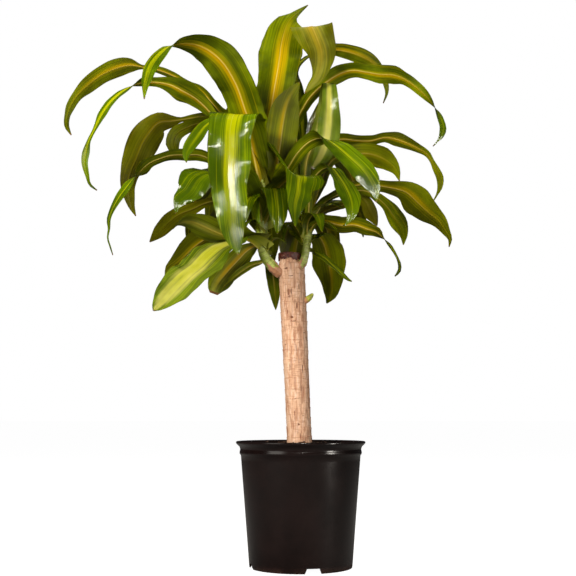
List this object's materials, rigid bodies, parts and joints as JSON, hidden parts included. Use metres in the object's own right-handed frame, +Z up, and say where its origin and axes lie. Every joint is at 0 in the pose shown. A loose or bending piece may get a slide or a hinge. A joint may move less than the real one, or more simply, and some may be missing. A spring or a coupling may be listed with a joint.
{
  "type": "potted corn plant",
  "caption": "Corn plant in a tapered nursery pot: arching striped leaves on leafy shoots from a bark-covered cane that stands in soil; it rests on the ring and the flat middle of the pot's underside.",
  "frame": {"origin": "centre of the pot's underside, on the surface that it stands on", "axes": "+Z up along the pot's axis; -Y towards the side seen in the picture, +X to the right in that view"},
  "size_m": [0.7357, 0.4873, 1.0659],
  "materials": {
    "pot_plastic": "satin",
    "soil": "matte",
    "bark": "matte",
    "seal_wax": "satin",
    "bud": "satin",
    "leaf": "satin"
  },
  "bodies": {
    "root": {"pot": "pot_plastic", "soil": "soil", "cane": "bark", "cut_seal": "seal_wax", "side_bud": "bud", "shoot_left": "leaf", "shoot_right": "leaf"}
  },
  "joints": []
}
